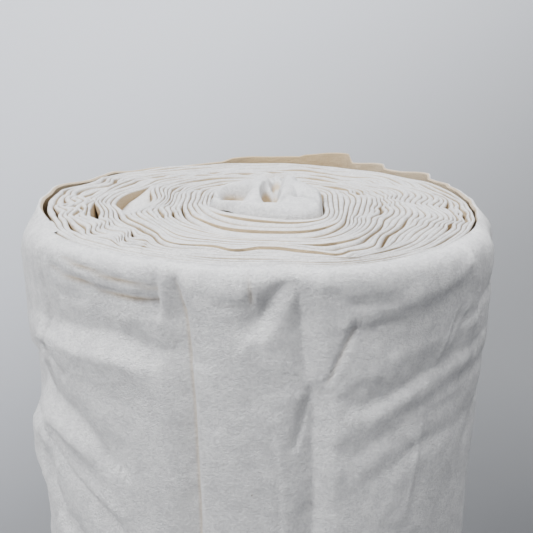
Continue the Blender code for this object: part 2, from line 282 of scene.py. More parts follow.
Flush = namedtuple("Flush", "direction turn half_angle half_turns share")
FLUSH = [Flush(*row) for row in (
    (272, 1.5, 40, 2.4, 0.9),
    (268, 4.5, 42, 2.6, 0.9),
    (262, 11, 32, 7.5, 0.85),
    (268, 21, 30, 6, 0.45),
    (285, 10, 12, 5, 0.7),
    (20, 6, 30, 3, 0.5),
)]


def trough(turn, direction):
    """How deep the line between two turns is, in millimetres below their folds."""
    depth = np.full(len(direction), PLAIN_TROUGH)
    for flush in FLUSH:
        round_it = stretch(angle_between(direction, flush.direction) / flush.half_angle)
        depth *= 1 - (flush.share * round_it
                      * stretch((turn - flush.turn) / flush.half_turns))
    for gap in OPEN_GAPS:
        opening = opening_of(gap, direction) ** 0.5
        in_gap = np.abs(turn - gap_line(gap, direction)) < 0.1
        depth += GAP_TROUGH * gap.width * opening * in_gap
    return depth


print(len(FLUSH), "places where the turns are pressed flush")

# %% [markdown]
# Each piece of cloth begins as Blender's grid primitive, a flat sheet of square
# faces. A function then says where each column and row of the grid goes, as hands
# would roll the sheet up: `lay_grid` makes the sheet, `set_points` moves its
# points, and `set_value` notes a value on each.

# %% Helpers for cloth
def lay_grid(name, columns, rows):
    """A flat grid of faces, and the column and row of each of its points."""
    bpy.ops.object.select_all(action="DESELECT")
    bpy.ops.mesh.primitive_grid_add(x_subdivisions=columns, y_subdivisions=rows, size=2)
    piece = bpy.context.object
    piece.name = piece.data.name = name
    flat = np.empty(3 * len(piece.data.vertices), np.float32)
    piece.data.vertices.foreach_get("co", flat)
    across, along = flat[0::3], flat[1::3]
    column = np.rint((across + 1) / 2 * columns).astype(int)
    row = np.rint((along + 1) / 2 * rows).astype(int)
    return piece, column, row


def set_points(piece, right, back, up):
    """Move every point of a piece, in metres."""
    places = np.stack([right, back, up], 1).astype(np.float32)
    piece.data.vertices.foreach_set("co", places.ravel())
    piece.data.update()


def set_value(piece, name, values):
    """Note a number on every point of a piece, for its material to read."""
    attribute = piece.data.attributes.new(name, "FLOAT", "POINT")
    attribute.data.foreach_set("value", values.astype(np.float32))


def places_at(radius, direction):
    """Places in metres at a radius and direction round the middle of the winding."""
    turned = np.radians(direction)
    return CENTRE[0] + radius * np.cos(turned), CENTRE[1] + radius * np.sin(turned)


def near_line(right, back, start, end):
    """Distance from points to a line between two places, and the share along it."""
    run = np.subtract(end, start)
    share = ((right - start[0]) * run[0] + (back - start[1]) * run[1]) / (run @ run)
    share = np.clip(share, 0, 1)
    away = np.hypot(right - start[0] - share * run[0], back - start[1] - share * run[1])
    return away, share


def ripple(right, back, up, size, seed):
    """Smooth noise from -1 to 1 at each point, with swellings of a size in metres."""
    shift = Vector((seed, 2.7 * seed, 5.1 * seed))
    return np.array([noise.noise(Vector(point) / size + shift)
                     for point in zip(right, back, up)])


def finish_piece(piece, smooth_angle):
    """Shade a piece smooth and put it on the roll."""
    bpy.ops.object.select_all(action="DESELECT")
    piece.select_set(True)
    bpy.context.view_layer.objects.active = piece
    bpy.ops.object.shade_smooth_by_angle(angle=math.radians(smooth_angle))
    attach(piece, "root")
    faces = sum(len(face.vertices) - 2 for face in piece.data.polygons)
    print(piece.name, "has", faces, "triangles")


print("the cloth is", SHEET / MM, "mm thick")

# %% [markdown]
# The wound turns are one long cloth, folded double with its fold upwards, so
# its section is an upside-down U. A long narrow grid has the section in its
# rows and the length of the cloth in its columns, and is rolled up as a spiral.

# %% Wound turns
WOUND_ROUNDS = 28
STATION = 2.65 * MM  # length of cloth between two sections
HALF_GAP = 0.17 * MM  # half the space between two tight turns
DEEP = 14 * MM  # depth below which the turns are out of sight
WAIST = 8 * MM  # how far the outermost turns lean in down there,
WAIST_FROM, WAIST_OVER = 0.1, 0.11  # from this radius on, growing over this much
LOWEST = 1 * MM
FIRST_RISE = 0.035  # rounds in which the first turn climbs from the wad,
FIRST_CLIMB = 9  # by this many millimetres
# The crease column is the share of painted shade, tan: none on the fold, most down between the
# turns.
Fold = namedtuple("Fold", "side drop crease")
SECTION = [Fold(*row) for row in (
    (-1, None, 1), (-1, None, 1), (-1, 1, 0.85), (-0.87, 0.5, 0.4), (-0.5, 0.134, 0.06),
    (0, 0, 0),
    (0.5, 0.134, 0.06), (0.87, 0.5, 0.4), (1, 1, 0.85), (1, None, 1), (1, None, 1),
)]


def cloth_length():
    """Rounds at even lengths along the cloth, and its whole length."""
    rounds = np.linspace(0, WOUND_ROUNDS, 20000)
    direction = LOOSE_END - 360 * rounds
    radius = turn_radius(rounds + 0.5, direction, rounds + 0.5) * MM
    turned = np.radians(direction)
    right, back = radius * np.cos(turned), radius * np.sin(turned)
    length = np.concatenate([[0], np.cumsum(np.hypot(np.diff(right), np.diff(back)))])
    return rounds, length


def make_wound_turns():
    """The cloth from the wad to the start of the loose turn."""
    fine_rounds, fine_length = cloth_length()
    columns = int(fine_length[-1] / STATION)
    piece, column, row = lay_grid("wound_turns", columns, len(SECTION) - 1)
    rounds = np.interp(np.linspace(0, fine_length[-1], columns + 1), fine_length, fine_rounds)
    direction = LOOSE_END - 360 * rounds
    middle = rounds + 0.5
    inner = turn_radius(rounds, direction, middle) * MM + HALF_GAP
    outer = turn_radius(rounds + 1, direction, middle) * MM - HALF_GAP
    radius = (inner + outer) / 2
    right, back = places_at(radius, direction)
    length = np.interp(rounds, fine_rounds, fine_length)
    front = swell(angle_between(direction, NEAT_SIDE) / 75)
    uneven = (1.9 - 1.5 * front) * ripple(length, 0.31 * rounds, 0 * rounds, 0.06, 3)
    bands = (2.6 - 2.0 * front) * ripple(0.35 * right, 0.35 * back, rounds * 0.006, 0.02, 8)
    trough_in = trough(rounds, direction)
    trough_out = trough(rounds + 1, direction)
    climb = np.clip(1 - rounds / FIRST_RISE, 0, 1) * FIRST_CLIMB
    crest = TOP + (uneven + bands - sunk(middle, direction) - climb) * MM
    side, drop, painted_shade_here = (column_of(SECTION, name)[row] for name in Fold._fields)
    hidden = np.isnan(drop)  # rows without a drop lie out of sight
    lowest = (row == 0) | (row == len(SECTION) - 1)
    half_width = (outer - inner)[column] / 2
    fold_drop = np.where(side < 0, trough_in[column], trough_out[column]) * MM
    height = np.minimum(fold_drop, 1.3 * half_width)
    reach = radius[column] + side * half_width
    up = np.where(hidden, crest[column] - DEEP, crest[column] - drop * height)
    up = np.where(lowest, LOWEST, up)
    waist = WAIST * np.clip((reach - WAIST_FROM) / WAIST_OVER, 0, 1) ** 2
    reach = reach - np.where(hidden, waist, 0)
    set_points(piece, *places_at(reach, direction[column]), up)
    set_value(piece, "crease", painted_shade_here)
    return piece, fine_length[-1]


wound_turns, wound_length = make_wound_turns()
finish_piece(wound_turns, 60)
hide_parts("wound_roll")
print(f"cloth in the winding: {wound_length:.2f} m")

# %% [markdown]
# The wad is the crumpled start of the cloth. Its folds are lobes: soft rolls
# along lines of a few points. Between the lobes lie `HOLLOWS`, where the wad
# opens and is painted tan as shade, and `GROOVES`, narrow lines where cloth
# meets cloth. All places are in millimetres from the middle of the winding.

# %% Lobes of the wad
Lobe = namedtuple("Lobe", "points half_width")
Point = namedtuple("Point", "right back rise")


def lobe(half_width, *points):
    """A soft roll of cloth along a line of points, in millimetres."""
    return Lobe([Point(*point) for point in points], half_width)


LOBES = [
    lobe(17, (-44, -38, 5), (-30, -50, 7.5), (-12, -58, 8.5), (8, -62, 8.5), (26, -60, 8),
         (38, -54, 7)),
    lobe(13, (22, -45, 9.5), (36, -42, 8.5)),
    lobe(9, (-46, -38, 4), (-46, -20, 6), (-42, 5, 8), (-34, 19, 9.5), (-18, 22, 11.5),
         (-4, 27, 14)),
    lobe(12, (-4, 26, 15), (-8, 2, 12), (-10, -28, 9.5), (-10, -48, 9)),
    lobe(11, (22, 29, 15), (21, 5, 14), (19, -22, 13), (16, -50, 8.5)),
    lobe(19, (28, 4, 14), (36, -14, 12), (43, -24, 8)),
    lobe(8, (10, 38, 13), (9.5, 14, 6), (9, -6, 0)),
]
# Each hollow's last column is its painted shade, tan.
Hollow = namedtuple("Hollow", "right back half_right half_back depth tan")
HOLLOWS = [Hollow(*row) for row in (
    (0, -16, 6.5, 34, 30, 2.2),
    (-28, -6, 18, 23, 13, 1),
    (9.5, 22, 10, 26, 2, 1.1),
    (8, -18, 6, 26, 8, 0.8),
)]
Groove = namedtuple("Groove", "depth half_width points")
GROOVES = [
    Groove(6, 5, [(11, -48), (14, -38), (19, -32), (30, -31), (40, -34)]),
    Groove(2.5, 2, [(6.5, 36), (6.5, 10), (6, -12)]),
]
print(len(LOBES), "lobes,", len(HOLLOWS), "hollows and", len(GROOVES), "grooves")

# %% [markdown]
# Where two lobes meet they leave a valley, as folded cloth does, so the wad is as
# high as its highest lobe there. A smooth greatest value keeps the valleys soft.
# A square grid, drawn in to a round one, fits the first turn of the winding.

# %% Wad
WAD_BASE = -4.0  # millimetres, the ground between the lobes
WAD_CELLS = 130
OFF_LOBE = -30.0  # millimetres, so low that it never shows


def lobe_height(one, right, back):
    """Height of a lobe in millimetres over points of the wad."""
    best = np.full(len(right), OFF_LOBE)
    for start, end in zip(one.points, one.points[1:]):
        away, share = near_line(right, back, start[:2], end[:2])
        rise = start.rise + share * (end.rise - start.rise)
        inside = np.clip(1 - (away / one.half_width) ** 2, 0, None)
        height = WAD_BASE + (rise - WAD_BASE) * np.sqrt(inside)
        best = np.maximum(best, np.where(inside > 0, height, OFF_LOBE))
    return best


def wad_height(right, back):
    """Height of the wad in millimetres above the winding's folds, and its painted shade."""
    sharpness = 1.2
    heights = [np.full(len(right), WAD_BASE)]
    heights += [lobe_height(one, right, back) for one in LOBES]
    top = np.max(heights, axis=0)
    blended = top + np.log(sum(np.exp(sharpness * (h - top)) for h in heights)) / sharpness
    tan = np.zeros(len(right))
    for hollow in HOLLOWS:
        away = np.hypot((right - hollow.right) / hollow.half_right,
                        (back - hollow.back) / hollow.half_back)
        blended -= hollow.depth * swell(away)
        tan += hollow.tan * swell(away)
    for groove in GROOVES:
        away = np.full(len(right), 1e6)
        for start, end in zip(groove.points, groove.points[1:]):
            away = np.minimum(away, near_line(right, back, start, end)[0])
        blended -= groove.depth * peak(away / groove.half_width)
    return blended, tan


def make_wad():
    """The crumpled start of the cloth, in the middle of the winding."""
    piece, column, row = lay_grid("wad", WAD_CELLS, WAD_CELLS)
    across, along = 2 * column / WAD_CELLS - 1, 2 * row / WAD_CELLS - 1
    disc_x = across * np.sqrt(1 - along ** 2 / 2)
    disc_y = along * np.sqrt(1 - across ** 2 / 2)
    share = np.hypot(disc_x, disc_y)
    direction = np.degrees(np.arctan2(disc_y, disc_x))
    rounds = ((LOOSE_END - direction) % 360) / 360
    pressed_in = swell(angle_between(direction, 231) / 22)  # by a kink of the turns
    squeeze = 0.985 - 0.09 * pressed_in
    radius = share * squeeze * turn_radius(rounds, direction, rounds - 0.5)
    turned = np.radians(direction)
    right, back = radius * np.cos(turned), radius * np.sin(turned)
    height, tan = wad_height(right, back)
    height += 0.8 * ripple(right * MM, back * MM, 0 * right, 0.012, 5)
    height -= 9 * np.clip((share - 0.91) / 0.09, 0, 1) ** 2.5
    set_points(piece, CENTRE[0] + right * MM, CENTRE[1] + back * MM, TOP + height * MM)
    # Painted shade: the lower a point and the deeper its hollow, the more tan.
    set_value(piece, "crease", np.clip((1 - height) / 12 + tan, 0, 1))
    return piece


wad = make_wad()
finish_piece(wad, 60)

# %% [markdown]
# The loose last turn hides the winding from the side, so it carries all the
# creases that show there. Its top edge rolls over in front and stands upright
# behind. `LOOSE_EDGES` gives, round the roll, the radius of the wall, and the
# rise, the roll (0 upright, 1 lying over) and the gap inside of that edge. The
# wall bends over in the last 36 mm, its shoulder. `FLUTES` are tall folds.

# %% Edge and tall folds of the loose turn
SHOULDER_DROP = 36 * MM

LooseEdge = namedtuple("LooseEdge", "direction outside rise roll gap")
LOOSE_EDGES = [LooseEdge(*row) for row in (
    (0, 193, 2.5, 0.25, 0), (15, 192, 2, 0.12, 0), (30, 192, 2, 0.08, 0.5),
    (45, 194, 1.5, 0.08, 1), (60, 196, 4, 0.05, 2), (75, 198, 6.5, 0.02, 5),
    (90, 198, 5.5, 0.02, 5), (105, 198, 2, 0.05, 3), (120, 201, 0, 0.15, 1),
    (135, 206, 0, 0.2, 1), (150, 211, 0.5, 0.25, 1.2), (165, 215, 1.5, 0.2, 1.6),
    (180, 217, 2, 0.2, 1.6), (195, 217.5, 1.5, 0.35, 1.5), (210, 216, 0.5, 0.8, 1),
    (225, 215, 0, 1, 1), (240, 215, 0, 1, 0), (255, 217, 0, 1, 0),
    (270, 219, 0, 1, 0), (285, 219, 0, 1, 0), (300, 218, 0, 1, 0),
    (315, 213, 0, 1, 0), (330, 205, 0.5, 0.8, 0), (345, 197, 1.5, 0.5, 0),
)]

Flute = namedtuple("Flute", "direction depth half_angle level half_height drift")
FLUTES = [Flute(*row) for row in (
    (263, 3, 7, 1050, 560, 0), (314, 4, 5, 1100, 70, 0),
    (322, 4, 8, 1050, 700, 0.3), (333, -4, 9, 950, 800, 0.5),
    (347, -4, 9, 640, 480, -0.5), (336, -8, 26, 735, 325, 0),
    (10, 4, 10, 560, 520, 0), (52, -6, 10, 560, 600, 0.6),
    (80, 4, 11, 520, 560, 0), (105, -6, 9, 560, 580, -0.6),
    (138, -5, 10, 560, 600, 0.4), (165, 4, 10, 560, 560, 0),
    (185, -4, 8, 720, 200, 0.4), (235, -4, 9, 400, 380, 0),
    (298, -4, 9, 400, 380, 0), (199, -13, 14, 985, 42, 0),
    (198, 6, 13, 932, 42, 0), (192, -4, 12, 870, 40, 0),
)]
print(len(FLUTES), "tall folds")

# %% [markdown]
# The creases catch the eye, so each is placed one by one, as a line of spots on
# the wall with a push, the widths of its two sides, and the painted shade, tan,
# in it. A spot is a direction and a drop below the top in millimetres. A wide
# side and a narrow one make a pleat, and a push outwards makes a ridge.

# %% Creases
Spot = namedtuple("Spot", "direction drop")
Crease = namedtuple("Crease", "push above below tan spots")


def crease(push, above, below, tan, *spots):
    """A fold of the wall along a line of spots.

    above and below are its widths on its upper and lower side, or on the left
    and right of an upright one.
    """
    return Crease(push, above, below, tan, [Spot(*spot) for spot in spots])


CREASES = [crease(*row) for row in (
    (-12, 24, 6, 0.5, (254, 8), (255.5, 40), (256.5, 100), (257, 190), (256, 420),
     (258, 900)),
    (-5, 18, 5, 0.1, (250.5, 0), (250, 36)),
    (-2.5, 7, 7, 0.1, (250, 33), (253, 38), (256, 30)),
    (-9, 28, 15, 0, (275, -2), (276, 38), (277.2, 78), (278.4, 88), (279, 190),
     (276, 500), (278, 1000)),
    (-7, 22, 12, 0, (274, 0), (271, 20), (268, 38)),
    (-1.8, 5, 3, 0.3, (285.4, 40), (280.6, 80)),
    (-2.4, 8, 3, 0, (278.2, 88), (276.9, 106), (275.4, 126)),
    (-1.4, 3.5, 4, 0.1, (284, 22), (294, 25)),
    (2.6, 34, 7, 0, (287, 37), (292, 32), (301, 26), (309, 19), (312, 6)),
    (-1.2, 6, 6, 0, (279, 13), (283, 20)),
    (-3, 5, 6, 0.8, (228, 8), (239, 13), (250, 17)),
    (-4, 8, 8, 0.7, (224, 19), (238, 25), (250, 28)),
    (-7.5, 42, 18, 0, (220, 66), (228, 62), (240, 57), (252, 64)),
    (5, 16, 30, 0, (210, 82), (224, 77), (244, 74)),
    (-2, 8, 8, 0, (226, 36), (236, 33), (248, 36)),
    (-3, 8, 8, 0.2, (217, 86), (220, 94), (225, 106)),
    (-9, 32, 14, 0.1, (206, 122), (214, 130), (226, 138), (237, 160)),
    (6, 14, 18, 0, (208, 150), (220, 150), (233, 158)),
    (-7, 22, 14, 0, (210, 172), (222, 188), (238, 214)),
    (5, 12, 12, 0, (214, 158), (226, 180), (240, 206)),
    (-7, 22, 14, 0, (204, 206), (218, 238), (232, 262)),
    (5, 14, 14, 0, (206, 226), (220, 256), (232, 280)),
    (-3.2, 24, 10, 0, (288, 101), (293, 96), (300, 86), (310, 81), (318, 77)),
    (-2, 16, 9, 0, (297, 114), (310, 104), (325, 99), (336, 80)),
    (-2, 20, 14, 0, (286, 138), (292, 126), (300, 120), (311, 117)),
    (-1.5, 20, 12, 0, (290, 160), (300, 142), (318, 139), (325, 124)),
    (-2, 16, 8, 0, (308, 58), (318, 46), (330, 30)),
    (-2.5, 12, 12, 0, (317, 165), (321, 140), (328, 112)),
    (-2, 5, 3, 0.2, (258.5, 20), (266, 23)),
    (-2.5, 5, 5, 0.5, (267, 3), (267.5, 22)),
    (3, 6, 5, 0, (311, 4), (314.5, 30), (315, 60)),
    (2, 6, 5, 0, (317, 56), (317, 122)),
    (0.7, 5, 4, 0, (301, 94), (301, 128), (298, 196)),
    (1.2, 4, 4, 0, (309, 44), (304, 82)),
    (1.2, 4, 4, 0, (312, 44), (307, 74)),
    (-1.5, 8, 4, 0, (270.5, 110), (272, 150), (272.5, 196)),
    (-2.4, 3, 12, 0, (219, 14), (219.5, 60), (218, 125)),
)]
print(len(CREASES), "creases")

# %% [markdown]
# Behind, the edge rises slowly and drops in short kinks. Directions fall along
# the cloth, so what comes before a ridge has the greater directions.

# %% Kinks of the rim
RimKink = namedtuple("RimKink", "direction push rise before after")
RIM_KINKS = [RimKink(*row) for row in (
    (61.5, 4, 8.5, 16, 2.2), (48, 2, 4.2, 12, 1.5),
    (27, 3, 3.6, 15, 1.5), (14, 0.7, 1.2, 8, 1),
    (352, 0.2, 1, 10, 1.5), (341, 0.3, 0.8, 7, 1.5),
    (101, 1.5, 2.5, 5, 14), (77, 1, 2, 1.2, 14),
    (190, 1, 0.6, 12, 5), (143, 2, 1, 8, 4),
    (128, 3, 1, 10, 3),
)]


def lean_to(distance, before, after):
    """A fold with a gentle side before its ridge and another side after it."""
    return swell(np.where(distance < 0, distance / before, distance / after))


print(len(RIM_KINKS), "kinks of the rim")

# %% [markdown]
# The relief of the wall is the sum of its folds and creases. Where several
# cross they could cut through the cloth, so a smooth limit holds them back.

# %% Relief of the wall
WALL_RADIUS = 215  # millimetres, to measure lengths along the wall
FREE_DEPTH = 6  # millimetres inwards before the limit begins to act,
SPARE_DEPTH = 4.5  # and how many more it lets through at the most
PAINTED_SHADE_HALF_WIDTH = 3.5  # millimetres of painted shade, tan, on each side of a crease


def from_line(spots, direction, drop):
    """Distance to a line of spots in millimetres, its side, and the place along it."""
    per_degree = WALL_RADIUS * math.pi / 180
    nearest = np.full(len(direction), 1e6)
    side, place = np.zeros(len(direction)), np.zeros(len(direction))
    first, last = spots[0], spots[-1]
    upright = (angle_between(last.direction, first.direction) * per_degree
               < 0.3 * (last.drop - first.drop))
    for number, (start, end) in enumerate(zip(spots, spots[1:])):
        run = (angle_between(end.direction, start.direction) * per_degree,
               end.drop - start.drop)
        across = angle_between(direction, start.direction) * per_degree
        down = drop - start.drop
        away, along = near_line(across, down, (0, 0), run)
        closer = away < nearest
        nearest = np.where(closer, away, nearest)
        turned = np.sign(down * run[0] - across * run[1])
        side = np.where(closer, -turned if upright else turned, side)
        place = np.where(closer, (number + along) / (len(spots) - 1), place)
    return nearest, side, place


def wall_relief(direction, level):
    """Folds of the wall in millimetres, and how much painted shade, tan, goes in the creases."""
    relief = np.zeros(len(direction))
    tan = np.zeros(len(direction))
    height = level / MM
    for flute in FLUTES:
        middle = flute.direction + flute.drift * (height - flute.level) / 100
        relief += (flute.depth * swell(angle_between(direction, middle) / flute.half_angle)
                   * stretch((height - flute.level) / flute.half_height))
    drop = TOP / MM - height
    for fold in CREASES:
        away, side, place = from_line(fold.spots, direction, drop)
        width = np.where(side < 0, fold.above, fold.below)
        fade = stretch((place - 0.5) / 0.62) ** 0.7
        relief += fold.push * peak(away / width) * fade
        # Painted shade, tan, along each crease.
        tan += fold.tan * swell(away / PAINTED_SHADE_HALF_WIDTH) * fade
    limited = -FREE_DEPTH - SPARE_DEPTH * np.tanh((-FREE_DEPTH - relief) / SPARE_DEPTH)
    return np.where(relief < -FREE_DEPTH, limited, relief), np.clip(tan, 0, 1)


print("the deepest pleats stay under", FREE_DEPTH + SPARE_DEPTH, "mm")

# %% [markdown]
# The shoulder is a Bezier curve from the upright wall to the edge, which leans as
# far over as the table says. Creases push it along its normal, and fade upwards.

# %% Shoulder of the loose turn
def plain_radius(direction, past_end):
    """Outside radius in metres of the loose turn without its folds."""
    return around(LOOSE_EDGES, "outside", direction) * MM + SHEET * (past_end - 0.5)


def edge_of(direction, past_end):
    """Inner radius, level and lean of the top edge in a direction."""
    push = np.zeros(len(direction))
    rise = np.zeros(len(direction))
    for kink in RIM_KINKS:
        fold = lean_to(angle_between(direction, kink.direction), kink.after, kink.before)
        push += kink.push * fold
        rise += kink.rise * fold
    last = turn_radius(WOUND_ROUNDS + past_end, direction, WOUND_ROUNDS + past_end - 0.5)
    gap = np.maximum(0, around(LOOSE_EDGES, "gap", direction)) + push
    lean = math.radians(90) * around(LOOSE_EDGES, "roll", direction)
    inner = (last + gap) * MM + CLEARANCE + FOLD_BULGE
    level = TOP + (around(LOOSE_EDGES, "rise", direction) + rise) * MM
    return inner, level, lean


def shoulder(direction, past_end, u):
    """Radius, level, normal and painted shade at a share u of the curve up to the top edge."""
    inner, level, lean = edge_of(direction, past_end)
    start_level = TOP - SHOULDER_DROP
    start_radius = plain_radius(direction, past_end)
    end_radius = inner + SHEET * np.cos(lean)
    reach = np.hypot(end_radius - start_radius, level - start_level) / 2
    points = ((start_radius, np.full(len(direction), start_level)),
              (start_radius, start_level + reach),
              (end_radius + reach * np.sin(lean), level - reach * np.cos(lean)),
              (end_radius, level))
    weights = ((1 - u) ** 3, 3 * u * (1 - u) ** 2, 3 * u * u * (1 - u), u ** 3)
    slopes = ((1 - u) ** 2, 2 * u * (1 - u), u * u)
    radius = sum(weight * point[0] for weight, point in zip(weights, points))
    height = sum(weight * point[1] for weight, point in zip(weights, points))
    pairs = list(zip(points, points[1:]))
    along_r = sum(slope * (b[0] - a[0]) for slope, (a, b) in zip(slopes, pairs))
    along_z = sum(slope * (b[1] - a[1]) for slope, (a, b) in zip(slopes, pairs))
    length = np.maximum(np.hypot(along_r, along_z), 1e-9)
    relief, tan = wall_relief(direction, height)
    relief, tan = relief * MM * (1 - u ** 2), tan * (1 - u ** 2)
    normal_r, normal_z = along_z / length, -along_r / length
    radius, height = radius + relief * normal_r, height + relief * normal_z
    return radius, height, normal_r, normal_z, tan


rim_levels = edge_of(np.arange(360.0), np.full(360, 0.5))[1]
print(f"the rim stands up to {(rim_levels.max() - TOP) / MM:.1f} mm above the winding")

# %% [markdown]
# The loose turn is again a grid with the section of the cloth in its rows: up
# the inside, over the fold and down the outside. Its columns lie closer in front
# and its rows near the top, where the creases are fine. The last columns, at the
# loose end, are drawn together to close the cloth.

# %% Loose turn
INNER_LEVELS = (0, 700, 1000, 1060, 1080)
HIDDEN_DEPTH = 13.5 * MM  # from the outside to the face that is out of sight
INSIDE_PAINTED_SHADE = 0.9
End = namedtuple("End", "setback depth close")
LOOSE_EDGE = [End(*row) for row in (
    (0.3, 1, 0), (0.3, 0.35, 0.55), (0.4, 0.13, 0.85), (0.75, 0.03, 0.97), (1.3, 0, 1))]
TUCK = 1.4  # degrees that the start lies under the loose end
SHOULDER_STEPS = 12
EDGE_STEPS = 4
LOOSE_COLUMNS = 560
SEAM_LEVEL = TOP - 10 * MM  # the seam of the shoulder drifts as at this level
SEAM_DRIFT = ((0, 0), (850, 9), (980, 8.5), (1060, 8.5), (1100, 9.5), (1140, 8.5))


def wall_levels():
    """Levels of the rows up the outside, in millimetres, closer near the top."""
    return np.concatenate([np.arange(0, 700, 22), np.arange(700, 930, 8),
                           np.arange(930, 1040, 3.6), np.arange(1040, 1099, 2.6)])


def column_directions():
    """How far round each column lies, closer in front where creases are fine."""
    past_end = np.linspace(0, 1, 4000)
    direction = LOOSE_END - 360 * past_end
    fine = np.where(np.abs(angle_between(direction, NEAT_SIDE)) < 64, 2.4, 0.9)
    count = np.concatenate([[0], np.cumsum(fine[1:])])
    return np.interp(np.linspace(0, count[-1], LOOSE_COLUMNS), count, past_end)


def outside_radius(level, direction, past_end):
    """Outside radius in metres of the loose turn, and the painted shade, tan, in its creases."""
    relief, tan = wall_relief(direction, level)
    return plain_radius(direction, past_end) + relief * MM, tan


def make_loose_turn():
    """The last turn of the cloth, doubled, with its fold at the top."""
    levels = wall_levels() * MM
    past_ends = column_directions()
    inner_rows = len(INNER_LEVELS)
    first_edge = inner_rows + SHOULDER_STEPS
    last_edge = first_edge + EDGE_STEPS
    outer_wall = last_edge + SHOULDER_STEPS
    rows = outer_wall + len(levels) - 1
    piece, column, row = lay_grid("outer_turn", len(past_ends) - 1, rows)
    past_end = past_ends[column]
    from_edge = np.minimum(column.max() - column, len(LOOSE_EDGE) - 1)
    setback, edge_depth, close = (
        column_of(LOOSE_EDGE, name)[from_edge] for name in End._fields)
    near_edge = column.max() - column < len(LOOSE_EDGE)
    direction = LOOSE_END - 360 * past_end + np.where(column == 0, TUCK, 0)
    direction = np.where(near_edge, LOOSE_END + setback, direction)
    radius, tan = np.zeros(len(row)), np.zeros(len(row))
    up = np.full(len(row), SEAM_LEVEL)

    inside = row < inner_rows
    up[inside] = np.array(INNER_LEVELS)[row[inside]] * MM
    outside = row >= outer_wall
    up[outside] = levels[::-1][row[outside] - outer_wall]
    wall = inside | outside
    near_seam = swell(past_end * 8) + swell((1 - past_end) * 8)
    direction = direction + np.interp(up / MM, *np.array(SEAM_DRIFT).T) * near_seam
    radius[wall], tan[wall] = outside_radius(up[wall], direction[wall], past_end[wall])
    radius[inside] = (plain_radius(direction, past_end) - HIDDEN_DEPTH)[inside]
    sunk_in = np.where(near_edge, edge_depth, 0) * HIDDEN_DEPTH
    radius[outside] -= sunk_in[outside]
    # Painted shade, tan, on the inside face, which stays out of sight.
    tan[inside] = INSIDE_PAINTED_SHADE

    curve = ~wall
    step = row - inner_rows
    u = np.where(row < first_edge, (step + 1) / SHOULDER_STEPS,
                 np.where(row <= last_edge, 1.0, (outer_wall - row) / SHOULDER_STEPS))
    r, z, normal_r, normal_z, folded = shoulder(direction[curve], past_end[curve], u[curve])
    depth = np.where(row < first_edge, 1.0,
                     np.where(row > last_edge, 0.0, (last_edge - row) / EDGE_STEPS))[curve]
    depth = np.clip(depth, 0, 1)
    onward_r, onward_z = -normal_z, normal_r
    bulge = FOLD_BULGE * np.sqrt(np.clip(1 - (2 * depth - 1) ** 2, 0, 1))
    radius[curve] = r - depth * SHEET * normal_r + bulge * onward_r
    up[curve] = z - depth * SHEET * normal_z + bulge * onward_z
    middle_r, middle_z = r - SHEET / 2 * normal_r, z - SHEET / 2 * normal_z
    radius[curve] = middle_r + close[curve] * (radius[curve] - middle_r)
    up[curve] = middle_z + close[curve] * (up[curve] - middle_z)
    behind = swell(angle_between(direction[curve], 84) / 36)  # where the inside shows, the painted shade is strongest
    shaded = 0.75 + 0.25 * behind
    # Painted shade, tan, inside the rolled edge; further out, the creases' painted shade.
    tan[curve] = np.where(depth > 0.4, shaded, folded)

    right, back = places_at(radius, direction)
    soft = 0.9 * ripple(right, back, up, 0.03, 2) + 0.5 * ripple(right, back, up, 0.011, 4)
    radius += soft * MM * np.where(inside, 0, 1)
    set_points(piece, *places_at(radius, direction), up)
    set_value(piece, "crease", tan)
    return piece


outer_turn = make_loose_turn()
finish_piece(outer_turn, 70)
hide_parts("loose_turn")

# %% [markdown]
# The lower end is never seen in use. It is a plain flat face that closes the roll,
# and notes for its material how many turns out each point lies.

# %% Lower end
END_RINGS = 30
END_COLUMNS = 180
END_INSET = 1 * MM  # inside of the loose turn
END_LEVEL = 0.4 * MM


def make_lower_end():
    """The flat end that the roll stands on."""
    piece, column, row = lay_grid("lower_end", END_COLUMNS, END_RINGS)
    direction = 360 * column / END_COLUMNS
    past_end = ((LOOSE_END - direction) % 360) / 360
    rim, _ = outside_radius(np.zeros(len(direction)), direction, np.full(len(direction), 0.5))
    radius = (rim - SHEET - END_INSET) * (1 - row / END_RINGS)
    level = np.full(len(direction), END_LEVEL)
    set_points(piece, *places_at(radius, direction), level)
    set_value(piece, "crease", np.full(len(direction), 0.3))
    set_value(piece, "turn", radius / SHEET + past_end)
    bpy.ops.object.mode_set(mode="EDIT")
    bpy.ops.mesh.select_all(action="SELECT")
    bpy.ops.mesh.remove_doubles(threshold=0.05 * MM)
    bpy.ops.mesh.normals_make_consistent(inside=False)
    bpy.ops.mesh.flip_normals()
    bpy.ops.object.mode_set(mode="OBJECT")
    return piece


lower_end = make_lower_end()
finish_piece(lower_end, 60)

# %% [markdown]
# A small class makes shader maths readable. It wraps a socket, so that
# `1 - mask` or `spots * 0.5` adds the Math node that works it out, and its
# `node` method adds any other node with its settings and inputs.

